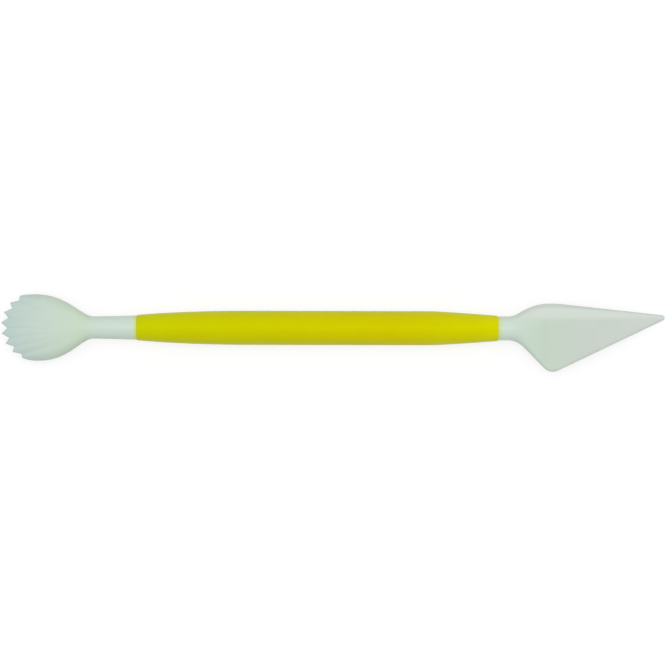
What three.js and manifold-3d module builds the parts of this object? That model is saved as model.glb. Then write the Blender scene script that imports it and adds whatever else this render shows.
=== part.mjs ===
// Double-ended modelling tool for sugarcraft and clay: a yellow barrel with a ribbed, saw-toothed shell
// at one end and a pointed blade at the other. Millimetres. X runs along the tool, with the blade at +X.
// Z is up, and the tool lies with its barrel on the plane Z = 0 and the flat of its blade facing up.
import * as THREE from 'three';
import { mergeVertices } from 'three/addons/utils/BufferGeometryUtils.js';
import Module from 'manifold-3d';

const radians = THREE.MathUtils.degToRad;

// Barrel, with the shell end at -X and the blade end at +X
const BARREL_LENGTH = 92.5;
const BARREL_DIAMETER = 8.75;
const BORE_DIAMETER = 4;
const BORE_CHAMFER = 0.3;
const SHELL_END_DIAMETER = 6.5;
const SHELL_END_TAPER = 12.4; // from the end face to where the taper would meet the full diameter
const SHELL_END_BLEND = 17.6; // from there on, the length in which the taper eases into it
const SHELL_END_ROUNDING = 0.4;
const BLADE_END_DIAMETER = 6.5;
const BLADE_END_TAPER = 14.2;
const BLADE_END_BLEND = 3.8;
const BLADE_END_ROUNDING = 0.2;

// Spigots of the two heads, which push into the bore
const SPIGOT_CLEARANCE = 0.1; // on the radius
const SHELL_SPIGOT_LENGTH = 14;
const BLADE_SPIGOT_LENGTH = 14;
const SPIGOT_CHAMFER = 0.5;
const SPIGOT_ROOT = 1; // how far a spigot runs on inside its own neck

// Necks, from the barrel's end face to the throat, where the head begins
const SHELL_NECK_LENGTH = 11;
const SHELL_NECK_DIAMETER = 6.2; // at the barrel
const SHELL_THROAT_DIAMETER = 5.66;
const BLADE_NECK_LENGTH = 2.8;
const BLADE_NECK_DIAMETER = 6.15;

// Shell in plan. Distances are from the throat.
const SHELL_LENGTH = 23.8;
const SHELL_WIDTH = 17.26;
const TIP_ARC_BULGE = 0.2; // how far the arc of the teeth's tips is wider than the shell, on the radius
const SHELL_FLARE_EASE = 3.3; // how far the side runs on along the neck before it flares
const SHELL_SIDE_EASE = 8.4; // how far before its widest place the side begins to level out
const SHELL_END_NARROWING = 1.2; // of the half width, from the widest place to the tip
const TOOTH_COUNT = 8;
const TOOTH_PITCH = radians(6.6); // about the throat
const TOOTH_DEPTH = 1.6;

// Shell in height. Levels are over the tool's axis.
const SHELL_CROWN = 3.5; // the height that the crown's curve bends towards
const SHELL_TIP_CROWN = 0.9;
const SHELL_RIM = -2.2; // the level that the rim's curve bends towards
const SHELL_TIP_RIM = -0.9;
const SHELL_WALL = 1.2;
const SHELL_TIP_WALL = 0.8;
const KEEL_LENGTH = 10; // from the throat, in which the neck's round underside dies away
const SCOOP_START = 4; // from the throat
const SCOOP_RUN_IN = 7;
const GROOVE_START = 6; // from the throat
const GROOVE_RUN_IN = 5;
const GROOVE_DEPTH = 0.35;
const GROOVE_WIDTH = 0.9;

// Blade in plan. Distances are from the throat, and heights over the tool's axis, towards +Y.
const BLADE_LENGTH = 40;
const TIP_RADIUS = 0.72;
const TIP_HEIGHT = 2.77;
const HEEL_RADIUS = 3.1;
const HEEL_AT = 11.35;
const HEEL_DROP = 11.1;
const BACK_ANGLE = radians(45.6);
const BACK_FILLET = 5.6;
const SPINE_ANGLE = radians(6.15);
const SPINE_STRAIGHT_FROM = 13.8;
const SPINE_NECK_EASE = 3.3; // how far the spine runs on along the neck before it rises
const SPINE_TOP_EASE = 9.4; // how far before the straight stretch the spine begins to level out

// Blade in thickness. A face is measured from the blade's middle plane, so these are half thicknesses.
const CUTTING_EDGE_HALF = 0.3;
const SPINE_EDGE_HALF = 0.22;
const FACE_SLOPE = 0.089; // thickening from the cutting edge up to the crease
const BEVEL_SLOPE = 0.35; // thinning from the crease up to the spine
const CREASE_HEIGHT = 3.05;
const CREASE_START = 3.4; // from the throat
const CREASE_RISE = 7;
const BLADE_ROOT_LENGTH = 11; // in which the round neck turns into the flat blade
const EDGE_ROUNDING = 0.4;

// How finely round shapes are divided
const BARREL_SIDES = 32;
const NECK_SIDES = 32;
const CURVE_STEPS = 8;
const SHELL_STATIONS = 18;
const BLADE_STATION_GAP = 0.3; // the least distance between two cross-sections
const OVERRUN = 1; // how far a cut, or what is to be cut, runs on past the finished surface

// The barrel lies on one of its flat sides.
const AXIS_HEIGHT = (BARREL_DIAMETER / 2) * Math.cos(Math.PI / BARREL_SIDES);

const wasm = await Module();
wasm.setup();

// A closed geometry as a solid that can be joined and cut
function solid(geometry) {
  const bare = geometry.clone();
  bare.deleteAttribute('normal');
  bare.deleteAttribute('uv');
  const merged = mergeVertices(bare);
  return new wasm.Manifold(new wasm.Mesh({
    numProp: 3,
    vertProperties: merged.attributes.position.array,
    triVerts: new Uint32Array(merged.index.array),
  }));
}

// A solid as a named mesh
function part(name, shape, material) {
  const { vertProperties, triVerts } = shape.getMesh();
  const geometry = new THREE.BufferGeometry();
  geometry.setAttribute('position', new THREE.BufferAttribute(vertProperties, 3));
  geometry.setIndex(new THREE.BufferAttribute(triVerts, 1));
  geometry.computeVertexNormals();
  const mesh = new THREE.Mesh(geometry, material);
  mesh.name = name;
  return mesh;
}

// A solid through a row of rings with equal numbers of points. Each ring runs from +Y over +Z to -Y and
// back below, the rings follow one another towards +X, and each end is closed to one point, which is the
// middle of the end ring unless it is given.
function loft(rings, lastPoint = middleOf(rings.at(-1))) {
  const size = rings[0].length;
  const points = [middleOf(rings[0]), ...rings.flat(), lastPoint];
  const last = points.length - 1;
  const faces = [];
  for (let k = 0; k < size; k++) {
    const next = (k + 1) % size;
    faces.push(0, 1 + next, 1 + k);
    faces.push(last, last - size + k, last - size + next);
    for (let r = 0; r + 1 < rings.length; r++) {
      const near = 1 + r * size;
      const far = near + size;
      faces.push(near + k, near + next, far + k, near + next, far + next, far + k);
    }
  }
  const geometry = new THREE.BufferGeometry().setFromPoints(points);
  geometry.setIndex(faces);
  return solid(geometry);
}

// The Y of a curve where it passes x, from points that run towards +X
function heightAt(points, x) {
  const after = points.findIndex((p) => p.x >= x);
  if (after < 0) return points.at(-1).y;
  if (after === 0) return points[0].y;
  const [a, b] = [points[after - 1], points[after]];
  return THREE.MathUtils.mapLinear(x, a.x, b.x, a.y, b.y);
}

// The middle of a ring of points
function middleOf(ring) {
  return ring.reduce((sum, p) => sum.add(p), new THREE.Vector3()).divideScalar(ring.length);
}

// Evenly spaced values, both ends included
function dividedRange(from, to, steps) {
  return Array.from({ length: steps + 1 }, (_, i) => THREE.MathUtils.lerp(from, to, i / steps));
}

// A turned solid about the X axis, from a profile of points (x, radius) that runs towards +X
function turned(profile, sides) {
  const points = profile.map(([x, radius]) => new THREE.Vector2(radius, x));
  const geometry = new THREE.LatheGeometry(points, sides, Math.PI / sides);
  geometry.rotateZ(-Math.PI / 2);
  return solid(geometry);
}

// A head's spigot, which stands out by `length` from the neck's end face at -neckLength
function spigot(length, neckLength) {
  const radius = BORE_DIAMETER / 2 - SPIGOT_CLEARANCE;
  const end = -neckLength - length;
  const root = SPIGOT_ROOT - neckLength;
  return turned([
    [end, 0],
    [end, radius - SPIGOT_CHAMFER],
    [end + SPIGOT_CHAMFER, radius],
    [root, radius],
    [root, 0],
  ], BARREL_SIDES);
}

// The most that a rounding or chamfer can take of the wall at a barrel end of this diameter
const wallShare = (diameter) => (diameter - BORE_DIAMETER) / 6;

// The barrel's outside from one end face to where the full diameter begins, as points (distance, radius)
function taperedEnd(diameter, taper, blend, wantedRounding) {
  const rounding = Math.min(wantedRounding, wallShare(diameter));
  const full = BARREL_DIAMETER / 2;
  const end = new THREE.Vector2(0, diameter / 2);
  const knee = new THREE.Vector2(taper, full);
  const outside = new THREE.QuadraticBezierCurve(end, knee, new THREE.Vector2(taper + blend, full));
  const points = outside.getPoints(CURVE_STEPS).filter((p) => p.x > rounding);
  const corner = new THREE.QuadraticBezierCurve(
    new THREE.Vector2(0, diameter / 2 - rounding),
    end,
    new THREE.Vector2(rounding, THREE.MathUtils.mapLinear(rounding, 0, taper, diameter / 2, full)),
  );
  return [...corner.getPoints(3), ...points];
}

function barrel() {
  const half = BARREL_LENGTH / 2;
  const bore = BORE_DIAMETER / 2;
  const shellEnd = taperedEnd(SHELL_END_DIAMETER, SHELL_END_TAPER, SHELL_END_BLEND, SHELL_END_ROUNDING);
  const bladeEnd = taperedEnd(BLADE_END_DIAMETER, BLADE_END_TAPER, BLADE_END_BLEND, BLADE_END_ROUNDING);
  const chamfer = Math.min(BORE_CHAMFER, wallShare(SHELL_END_DIAMETER), wallShare(BLADE_END_DIAMETER));
  const start = [-half, bore + chamfer];
  return turned([
    start,
    ...shellEnd.map((p) => [p.x - half, p.y]),
    ...bladeEnd.reverse().map((p) => [half - p.x, p.y]),
    [half, bore + chamfer],
    [half - chamfer, bore],
    [chamfer - half, bore],
    start,
  ], BARREL_SIDES);
}

// Shell head, with its throat at x = 0 and its teeth towards +X
const SHELL_TIP_RADIUS = SHELL_WIDTH / 2 + TIP_ARC_BULGE;
const SHELL_TIP_CENTRE = SHELL_LENGTH - SHELL_TIP_RADIUS;

function curvePoints(...controls) {
  const [a, b, c, d] = controls.map(([x, y]) => new THREE.Vector2(x, y));
  return new THREE.CubicBezierCurve(a, b, c, d).getPoints(4 * CURVE_STEPS);
}

// Half the shell's width along its length, first flaring to the widest place and then narrowing a little
const shellSide = [
  ...curvePoints(
    [0, SHELL_THROAT_DIAMETER / 2],
    [SHELL_FLARE_EASE, SHELL_THROAT_DIAMETER / 2],
    [SHELL_TIP_CENTRE - SHELL_SIDE_EASE, SHELL_WIDTH / 2],
    [SHELL_TIP_CENTRE, SHELL_WIDTH / 2],
  ),
  ...curvePoints(
    [SHELL_TIP_CENTRE, SHELL_WIDTH / 2],
    [SHELL_TIP_CENTRE + SHELL_TIP_RADIUS / 3, SHELL_WIDTH / 2],
    [SHELL_LENGTH - SHELL_TIP_RADIUS / 3, SHELL_WIDTH / 2 - SHELL_END_NARROWING / 2],
    [SHELL_LENGTH, SHELL_WIDTH / 2 - SHELL_END_NARROWING],
  ).slice(1),
];
const shellCrown = curvePoints(
  [0, SHELL_THROAT_DIAMETER / 2],
  [SHELL_LENGTH / 3, SHELL_CROWN],
  [SHELL_LENGTH * 2 / 3, SHELL_CROWN],
  [SHELL_LENGTH, SHELL_TIP_CROWN],
);
const shellRim = curvePoints(
  [0, 0],
  [SHELL_LENGTH / 3, 0],
  [SHELL_LENGTH * 2 / 3, SHELL_RIM],
  [SHELL_LENGTH, SHELL_TIP_RIM],
);

// The shell's cross-section at x: a half ellipse over the rim, and the neck's keel dying away below it
function shellSection(x) {
  const rim = heightAt(shellRim, x);
  const keel = THREE.MathUtils.clamp(1 - x / KEEL_LENGTH, 0, 1);
  return {
    halfWidth: heightAt(shellSide, x),
    rim,
    crown: heightAt(shellCrown, x),
    keelDepth: (SHELL_THROAT_DIAMETER / 2) * Math.sin(keel * Math.PI / 2) ** 2,
  };
}

// A ring at x: the upper half ellipse rises to `up` over `level`, and the lower one falls to `down` below it
function ovalRing(x, halfWidth, level, up, down) {
  return Array.from({ length: NECK_SIDES }, (_, k) => {
    const angle = (k / NECK_SIDES) * 2 * Math.PI;
    const height = Math.sin(angle) * (angle < Math.PI ? up : down);
    return new THREE.Vector3(x, halfWidth * Math.cos(angle), level + height);
  });
}

// The neck and the shell's full dome, run on past the tips of the teeth
function shellBody() {
  const neck = SHELL_NECK_DIAMETER / 2;
  const domeRings = dividedRange(0, SHELL_LENGTH + OVERRUN, SHELL_STATIONS).map((x) => {
    const { halfWidth, rim, crown, keelDepth } = shellSection(x);
    return ovalRing(x, halfWidth, rim, crown - rim, keelDepth);
  });
  return loft([ovalRing(-SHELL_NECK_LENGTH, neck, 0, neck, neck), ...domeRings]);
}

// The hollow under the dome, open below and at the teeth
function scoop() {
  const floor = -SHELL_THROAT_DIAMETER / 2 - OVERRUN;
  const rings = dividedRange(SCOOP_START, SHELL_LENGTH + 2 * OVERRUN, SHELL_STATIONS).map((x) => {
    const { halfWidth, rim, crown } = shellSection(x);
    const wall = THREE.MathUtils.mapLinear(x, 0, SHELL_LENGTH, SHELL_WALL, SHELL_TIP_WALL);
    const runIn = THREE.MathUtils.clamp((x - SCOOP_START) / SCOOP_RUN_IN, 0.01, 1);
    const grown = Math.sqrt(1 - (1 - runIn) ** 2);
    const inside = ovalRing(x, (halfWidth - wall) * grown, rim, (crown - rim - wall) * grown, 0);
    inside.forEach((p, k) => {
      if (k > NECK_SIDES / 2) p.z = floor;
    });
    return inside;
  });
  return loft(rings);
}

// A point in plan, on a ray from the throat at `angle`, where the ray leaves the arc of the teeth's tips,
// or that arc moved back by `back`
function onTipArc(angle, back = 0) {
  const centre = SHELL_TIP_CENTRE - back;
  const along = centre * Math.cos(angle);
  const aside = centre * Math.sin(angle);
  const reach = along + Math.sqrt(SHELL_TIP_RADIUS ** 2 - aside ** 2);
  return new THREE.Vector2(reach * Math.cos(angle), reach * Math.sin(angle));
}

// What is kept of the dome in plan: all of it up to the teeth, whose tips and notches lie on rays
function toothedPlan() {
  const margin = SHELL_WIDTH;
  const plan = new THREE.Shape();
  plan.moveTo(-SHELL_NECK_LENGTH - SPIGOT_ROOT, -margin);
  plan.lineTo(SHELL_TIP_CENTRE, -margin);
  const outerTip = TOOTH_PITCH * (TOOTH_COUNT - 1) / 2;
  const corner = onTipArc(outerTip);
  const cornerTurn = Math.atan2(corner.y, corner.x - SHELL_TIP_CENTRE);
  plan.absarc(SHELL_TIP_CENTRE, 0, SHELL_TIP_RADIUS, -Math.PI / 2, -cornerTurn, false);
  for (let k = 1; k < TOOTH_COUNT; k++) {
    const tip = k * TOOTH_PITCH - outerTip;
    for (const p of [onTipArc(tip - TOOTH_PITCH / 2, TOOTH_DEPTH), onTipArc(tip)]) plan.lineTo(p.x, p.y);
  }
  plan.absarc(SHELL_TIP_CENTRE, 0, SHELL_TIP_RADIUS, cornerTurn, Math.PI / 2, false);
  plan.lineTo(SHELL_TIP_CENTRE, margin);
  plan.lineTo(-SHELL_NECK_LENGTH - SPIGOT_ROOT, margin);
  const prism = new THREE.ExtrudeGeometry(plan, {
    depth: 2 * margin,
    bevelEnabled: false,
    curveSegments: CURVE_STEPS,
  });
  prism.translate(0, 0, -margin);
  return solid(prism);
}

// A V groove on the dome along the ray at `angle`, running in from the throat and out through its notch
function groove(angle) {
  const rings = dividedRange(GROOVE_START, SHELL_LENGTH, SHELL_STATIONS / 2).map((reach) => {
    const x = reach * Math.cos(angle);
    const y = reach * Math.sin(angle);
    const { halfWidth, rim, crown } = shellSection(x);
    const dome = rim + (crown - rim) * Math.sqrt(Math.max(0, 1 - (y / halfWidth) ** 2));
    const runIn = THREE.MathUtils.clamp((reach - GROOVE_START) / GROOVE_RUN_IN, 0.15, 1);
    const depth = GROOVE_DEPTH * runIn;
    const open = (GROOVE_WIDTH / 2) * (depth + OVERRUN) / GROOVE_DEPTH;
    return [
      new THREE.Vector3(x, y, dome - depth),
      new THREE.Vector3(x + open * Math.sin(angle), y - open * Math.cos(angle), dome + OVERRUN),
      new THREE.Vector3(x - open * Math.sin(angle), y + open * Math.cos(angle), dome + OVERRUN),
    ].reverse();
  });
  return loft(rings);
}

function shellHead() {
  let head = shellBody().subtract(scoop()).intersect(toothedPlan());
  for (let k = 1; k < TOOTH_COUNT; k++) {
    head = head.subtract(groove((k - TOOTH_COUNT / 2) * TOOTH_PITCH));
  }
  return head.add(spigot(SHELL_SPIGOT_LENGTH, SHELL_NECK_LENGTH));
}

// Blade head, with its throat at x = 0 and its tip towards +X
const tipCentre = new THREE.Vector2(BLADE_LENGTH - TIP_RADIUS, TIP_HEIGHT);
const heelCentre = new THREE.Vector2(HEEL_AT, HEEL_RADIUS - HEEL_DROP);

// The direction square to the straight cutting edge, which touches the heel's round and the tip's
function cuttingNormalAngle() {
  const between = tipCentre.clone().sub(heelCentre);
  return between.angle() - Math.acos((HEEL_RADIUS - TIP_RADIUS) / between.length());
}

// The spine's side of the outline, from the neck to the tip's outermost point
function spineOutline() {
  const neck = BLADE_NECK_DIAMETER / 2;
  const square = Math.PI / 2 - SPINE_ANGLE;
  const touchX = tipCentre.x + TIP_RADIUS * Math.cos(square);
  const touchY = tipCentre.y + TIP_RADIUS * Math.sin(square);
  const straightY = touchY + (touchX - SPINE_STRAIGHT_FROM) * Math.tan(SPINE_ANGLE);
  const outline = new THREE.Path();
  outline.moveTo(0, neck);
  outline.bezierCurveTo(
    SPINE_NECK_EASE, neck,
    SPINE_STRAIGHT_FROM - SPINE_TOP_EASE, straightY + SPINE_TOP_EASE * Math.tan(SPINE_ANGLE),
    SPINE_STRAIGHT_FROM, straightY,
  );
  outline.absarc(tipCentre.x, tipCentre.y, TIP_RADIUS, square, 0, true);
  return outline.getPoints(2 * CURVE_STEPS);
}

// The other side: a fillet at the neck, the straight back, the heel and the cutting edge
function cuttingOutline() {
  const neck = BLADE_NECK_DIAMETER / 2;
  const cutting = cuttingNormalAngle();
  const back = -Math.PI / 2 - BACK_ANGLE;
  const heelTouch = new THREE.Vector2(
    heelCentre.x + HEEL_RADIUS * Math.cos(back),
    heelCentre.y + HEEL_RADIUS * Math.sin(back),
  );
  const filletY = -neck - BACK_FILLET;
  const filletTouchY = filletY + BACK_FILLET * Math.cos(BACK_ANGLE);
  const filletTouchX = heelTouch.x - (filletTouchY - heelTouch.y) / Math.tan(BACK_ANGLE);
  const filletX = filletTouchX - BACK_FILLET * Math.sin(BACK_ANGLE);
  const outline = new THREE.Path();
  outline.moveTo(Math.min(0, filletX), -neck);
  outline.absarc(filletX, filletY, BACK_FILLET, Math.PI / 2, Math.PI / 2 - BACK_ANGLE, true);
  outline.absarc(heelCentre.x, heelCentre.y, HEEL_RADIUS, back, cutting, false);
  outline.absarc(tipCentre.x, tipCentre.y, TIP_RADIUS, cutting, 0, false);
  return outline.getPoints(2 * CURVE_STEPS);
}

const spine = spineOutline();
const cuttingSide = cuttingOutline();

// How high the line of the cutting edge lies at x, run on back past the heel
function cuttingLine(x) {
  const normal = cuttingNormalAngle();
  const touchX = heelCentre.x + HEEL_RADIUS * Math.cos(normal);
  const touchY = heelCentre.y + HEEL_RADIUS * Math.sin(normal);
  return touchY + (x - touchX) * Math.tan(normal + Math.PI / 2);
}

// Half the blade's thickness at a place in plan, before its edges are rounded
function bladeHalfThickness(x, y, crease) {
  const face = (height) => CUTTING_EDGE_HALF + FACE_SLOPE * (height - cuttingLine(x));
  if (y <= crease) return face(y);
  return Math.max(SPINE_EDGE_HALF, face(crease) - BEVEL_SLOPE * (y - crease));
}

// Where the places of a blade ring lie between an edge and the crease, as shares of that distance
const BEVEL_SHARES = [0, 0.04, 0.14, 0.35, 0.65, 1];
const FACE_SHARES = [0.75, 0.5, 0.25, 0.1, 0.03, 0];

// The blade's ring at x, which turns from the neck's circle into the flat blade
function bladeRing(x) {
  const top = heightAt(spine, x);
  const bottom = heightAt(cuttingSide, x);
  const middle = (top + bottom) / 2;
  const reach = (top - bottom) / 2;
  const rise = THREE.MathUtils.smoothstep(x, CREASE_START, CREASE_START + CREASE_RISE);
  const crease = THREE.MathUtils.lerp(middle, Math.min(CREASE_HEIGHT, middle + reach / 2), rise);
  const flat = THREE.MathUtils.smoothstep(x, 0, BLADE_ROOT_LENGTH);
  const heights = [
    ...BEVEL_SHARES.map((share) => THREE.MathUtils.lerp(top, crease, share)),
    ...FACE_SHARES.map((share) => THREE.MathUtils.lerp(bottom, crease, share)),
  ];
  const front = heights.map((y) => {
    const aside = Math.min(top - y, y - bottom);
    const rounding = Math.sqrt(1 - (1 - Math.min(1, aside / EDGE_ROUNDING)) ** 2);
    const blade = bladeHalfThickness(x, y, crease) * rounding;
    const round = (BLADE_NECK_DIAMETER / 2) * Math.sqrt(Math.max(0, 1 - ((y - middle) / reach) ** 2));
    return new THREE.Vector3(x, y, THREE.MathUtils.lerp(round, blade, flat));
  });
  const back = front.slice(1, -1).reverse().map((p) => new THREE.Vector3(p.x, p.y, -p.z));
  return [...front, ...back];
}

function bladeHead() {
  const places = [...spine, ...cuttingSide].map((p) => p.x).filter((x) => x > 0 && x < BLADE_LENGTH);
  const stations = [-BLADE_NECK_LENGTH, 0];
  for (const x of places.sort((a, b) => a - b)) {
    if (x - stations.at(-1) > BLADE_STATION_GAP) stations.push(x);
  }
  const tip = new THREE.Vector3(BLADE_LENGTH, TIP_HEIGHT, 0);
  const blade = loft(stations.map(bladeRing), tip);
  return blade.add(spigot(BLADE_SPIGOT_LENGTH, BLADE_NECK_LENGTH));
}

const yellowPlastic = new THREE.MeshStandardMaterial({ color: 0xd2ce02, roughness: 0.45, metalness: 0 });
const whitePlastic = new THREE.MeshStandardMaterial({ color: 0xdce6de, roughness: 0.4, metalness: 0 });

const tool = new THREE.Group();

const handleBarrel = part('handle_barrel', barrel(), yellowPlastic);
handleBarrel.position.set(0, 0, AXIS_HEIGHT);
tool.add(handleBarrel);

const shellEndHead = part('shell_head', shellHead(), whitePlastic);
shellEndHead.position.set(-BARREL_LENGTH / 2 - SHELL_NECK_LENGTH, 0, AXIS_HEIGHT);
shellEndHead.rotation.z = Math.PI;
tool.add(shellEndHead);

const bladeEndHead = part('blade_head', bladeHead(), whitePlastic.clone());
bladeEndHead.position.set(BARREL_LENGTH / 2 + BLADE_NECK_LENGTH, 0, AXIS_HEIGHT);
tool.add(bladeEndHead);

export default tool;
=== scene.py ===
# %% [markdown]
# # A double-ended modelling tool, from a bare frame to a finished picture
#
# The tool is one that cake makers and potters press into soft paste. A yellow plastic barrel carries a white
# shell at its left end and a white blade at its right end. All three are moulded plastic, and nothing moves.
#
# Every length on the tool is first written in millimetres, as a maker would measure it, and is turned into
# metres where Blender needs it. X runs along the tool, Z is up, and the tool lies on the plane Z = 0.

import math
from collections import Counter

import bmesh
import bpy
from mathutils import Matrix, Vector


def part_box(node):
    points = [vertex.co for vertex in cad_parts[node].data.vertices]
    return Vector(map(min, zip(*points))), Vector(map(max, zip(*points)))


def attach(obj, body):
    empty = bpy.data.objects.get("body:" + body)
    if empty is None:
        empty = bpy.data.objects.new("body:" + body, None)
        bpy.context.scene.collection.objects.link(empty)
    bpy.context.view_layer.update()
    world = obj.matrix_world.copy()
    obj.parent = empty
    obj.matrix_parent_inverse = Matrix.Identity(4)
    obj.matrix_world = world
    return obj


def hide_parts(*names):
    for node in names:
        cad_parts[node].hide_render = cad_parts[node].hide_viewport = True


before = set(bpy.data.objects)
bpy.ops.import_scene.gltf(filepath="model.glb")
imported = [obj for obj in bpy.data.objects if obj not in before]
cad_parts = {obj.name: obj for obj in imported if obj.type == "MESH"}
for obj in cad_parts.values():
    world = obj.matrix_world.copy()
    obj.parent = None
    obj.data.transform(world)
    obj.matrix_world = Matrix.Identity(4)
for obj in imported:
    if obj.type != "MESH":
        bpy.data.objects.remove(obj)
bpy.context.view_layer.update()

MM = 0.001
print("frame nodes:", sorted(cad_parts))

# %% [markdown]
# ## Where the pieces meet
#
# The frame gives the place of every piece. The barrel's two end faces stand half its length to either side of
# the middle, and all three pieces share one axis, which lies a little over four millimetres above the table.
# The barrel of the frame has flat sides and rests on one of them, so the axis is measured from its top and
# bottom and not guessed.

# %% Measure the frame
barrel_low, barrel_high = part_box("handle_barrel")
BARREL_HALF = (barrel_high.x - barrel_low.x) / 2 / MM
AXIS_HEIGHT = (barrel_high.z + barrel_low.z) / 2 / MM
print("barrel half length", round(BARREL_HALF, 3), "axis height", round(AXIS_HEIGHT, 3))

# %% [markdown]
# ## Tools for the bench
#
# An operator of Blender acts on all that is selected, so each step first puts everything down. A curve is
# needed again and again: the barrel's taper, the shell's sides and the blade's spine are all Bezier curves,
# which are drawn here as a row of points that runs along the tool.


# %% Bench tools
def put_everything_down():
    """Leaves edit mode and deselects all objects."""
    if bpy.context.object is not None and bpy.context.object.mode != "OBJECT":
        bpy.ops.object.mode_set(mode="OBJECT")
    bpy.ops.object.select_all(action="DESELECT")


def curve_points(controls, steps=64):
    """Points on the Bezier curve with these control points."""
    points = []
    for step in range(steps + 1):
        share = step / steps
        row = [Vector(control) for control in controls]
        while len(row) > 1:
            row = [a.lerp(b, share) for a, b in zip(row, row[1:])]
        points.append(row[0])
    return points


def height_at(points, x):
    """Height of a row of points where it passes x."""
    if x <= points[0].x:
        return points[0].y
    for a, b in zip(points, points[1:]):
        if x <= b.x:
            return a.y + (b.y - a.y) * (x - a.x) / (b.x - a.x)
    return points[-1].y


def ease(x, start, end):
    """0 before start, 1 after end, and a smooth rise between."""
    share = min(1, max(0, (x - start) / (end - start)))
    return share * share * (3 - 2 * share)


def mix(a, b, share):
    """The value at this share of the way from a to b."""
    return a + (b - a) * share


def soft_lower(a, b, softness):
    """The lower of two values, with a rounded change from one to the other."""
    return (a + b - math.sqrt((a - b) ** 2 + softness**2)) / 2


def open_edges(piece):
    """How many edges of a piece don't join exactly two faces. A closed piece has none."""
    uses = Counter(edge for face in piece.data.polygons for edge in face.edge_keys)
    return sum(count != 2 for count in uses.values())


print("bench tools ready")

# %% [markdown]
# ## The barrel
#
# The real barrel is one moulded tube, round all along and narrowed at both ends, with a straight bore that
# takes the two heads. It could be a cylinder that is scaled ring by ring, but a turned piece is easiest to
# get right when it is turned: half of its cross-section is drawn as a line of points and spun about the axis,
# as clay on a wheel. The line goes along the outside, in at the blade end and back through the bore.
#
# The two ends aren't alike. At the shell end the taper fades out more slowly, and the lip is rounder.

# %% Barrel: the line to be turned
BARREL_RADIUS = 4.375
BORE_RADIUS = 2.0
BORE_CHAMFER = 0.3
SHELL_END = {"radius": 3.25, "taper": 12.4, "blend": 17.6, "rounding": 0.65, "drop": 0.16}
BLADE_END = {"radius": 3.25, "taper": 14.2, "blend": 3.8, "rounding": 0.35, "drop": 0.12}
TAPER_STEPS = 22
LIP_STEPS = 6
LIP_CLEARANCE = 1.2


def tapered_end(radius, taper, blend, rounding, drop):
    """Points (distance from the end face, radius), from the face to where the barrel is full."""
    full = (taper + blend, BARREL_RADIUS)
    outside = curve_points([(0, radius), (taper, BARREL_RADIUS), full], TAPER_STEPS)
    lip_end = (rounding, height_at(outside, rounding))
    lip = curve_points([(0, radius - drop), (0, radius), lip_end], LIP_STEPS)
    return lip + [point for point in outside if point.x > rounding * LIP_CLEARANCE]


outline = [Vector((-BARREL_HALF + point.x, point.y)) for point in tapered_end(**SHELL_END)]
outline += [Vector((BARREL_HALF - point.x, point.y)) for point in reversed(tapered_end(**BLADE_END))]
outline += [
    Vector((BARREL_HALF, BORE_RADIUS + BORE_CHAMFER)),
    Vector((BARREL_HALF - BORE_CHAMFER, BORE_RADIUS)),
    Vector((BORE_CHAMFER - BARREL_HALF, BORE_RADIUS)),
    Vector((-BARREL_HALF, BORE_RADIUS + BORE_CHAMFER)),
    outline[0],
]
print("barrel outline:", len(outline), "points")

# %% Barrel: draw the line and spin it
BARREL_SIDES = 128
BARREL_SMOOTH_ANGLE = 30
SEAM_GAP = 0.002


def new_piece(name):
    """The object that was just added, at the world's origin and ready to be edited."""
    piece = bpy.context.object
    piece.name = name
    piece.data.name = name
    bpy.ops.object.transform_apply(location=True, rotation=True, scale=True)
    bpy.ops.object.mode_set(mode="EDIT")
    bpy.ops.mesh.select_all(action="SELECT")
    return piece


put_everything_down()
first_point = (outline[0].x * MM, 0, (AXIS_HEIGHT + outline[0].y) * MM)
bpy.ops.mesh.primitive_plane_add(size=MM, location=first_point)
yellow_barrel = new_piece("yellow_barrel")
bpy.ops.mesh.merge(type="CENTER")
for here, there in zip(outline, outline[1:]):
    step = (there - here) * MM
    bpy.ops.mesh.extrude_region_move(TRANSFORM_OT_translate={"value": (step.x, 0, step.y)})
bpy.ops.mesh.select_all(action="SELECT")
bpy.ops.mesh.spin(
    steps=BARREL_SIDES, angle=2 * math.pi, center=(0, 0, AXIS_HEIGHT * MM), axis=(1, 0, 0)
)
bpy.ops.mesh.select_all(action="SELECT")
bpy.ops.mesh.remove_doubles(threshold=SEAM_GAP * MM)
bpy.ops.mesh.normals_make_consistent(inside=False)
bpy.ops.object.mode_set(mode="OBJECT")
bpy.ops.object.shade_smooth_by_angle(angle=math.radians(BARREL_SMOOTH_ANGLE))
print("barrel:", len(yellow_barrel.data.polygons), "faces,", open_edges(yellow_barrel), "open edges")

# %% [markdown]
# ## Growing a head out of a ring
#
# Both heads begin as a round spigot, become a round neck and end in a shape that is not round at all. Such a
# piece grows well from one circle: the circle is extruded again and again, and each new ring is set to the
# cross-section at its place. A plain resize can't turn a circle into a ribbed shell, so the points of each
# ring are placed by a small function that gives a section of the piece.
#
# Every point of the first circle is given the number of its column. Extruding copies that number, so the
# function always knows which point of the section it is asked for.


# %% Ring tools
def start_ring(name, count, x, radius):
    """A circle of points across the tool's axis, numbered from column 0 at +Y over the top."""
    put_everything_down()
    bpy.ops.mesh.primitive_circle_add(
        vertices=count,
        radius=radius * MM,
        location=(x * MM, 0, AXIS_HEIGHT * MM),
        rotation=(0, math.pi / 2, 0),
    )
    piece = new_piece(name)
    ring = bmesh.from_edit_mesh(piece.data)
    column = ring.verts.layers.int.new("column")
    for point in ring.verts:
        angle = math.atan2(point.co.z - AXIS_HEIGHT * MM, point.co.y)
        point[column] = round(angle / (2 * math.pi) * count) % count
    bmesh.update_edit_mesh(piece.data)
    return piece


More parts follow.
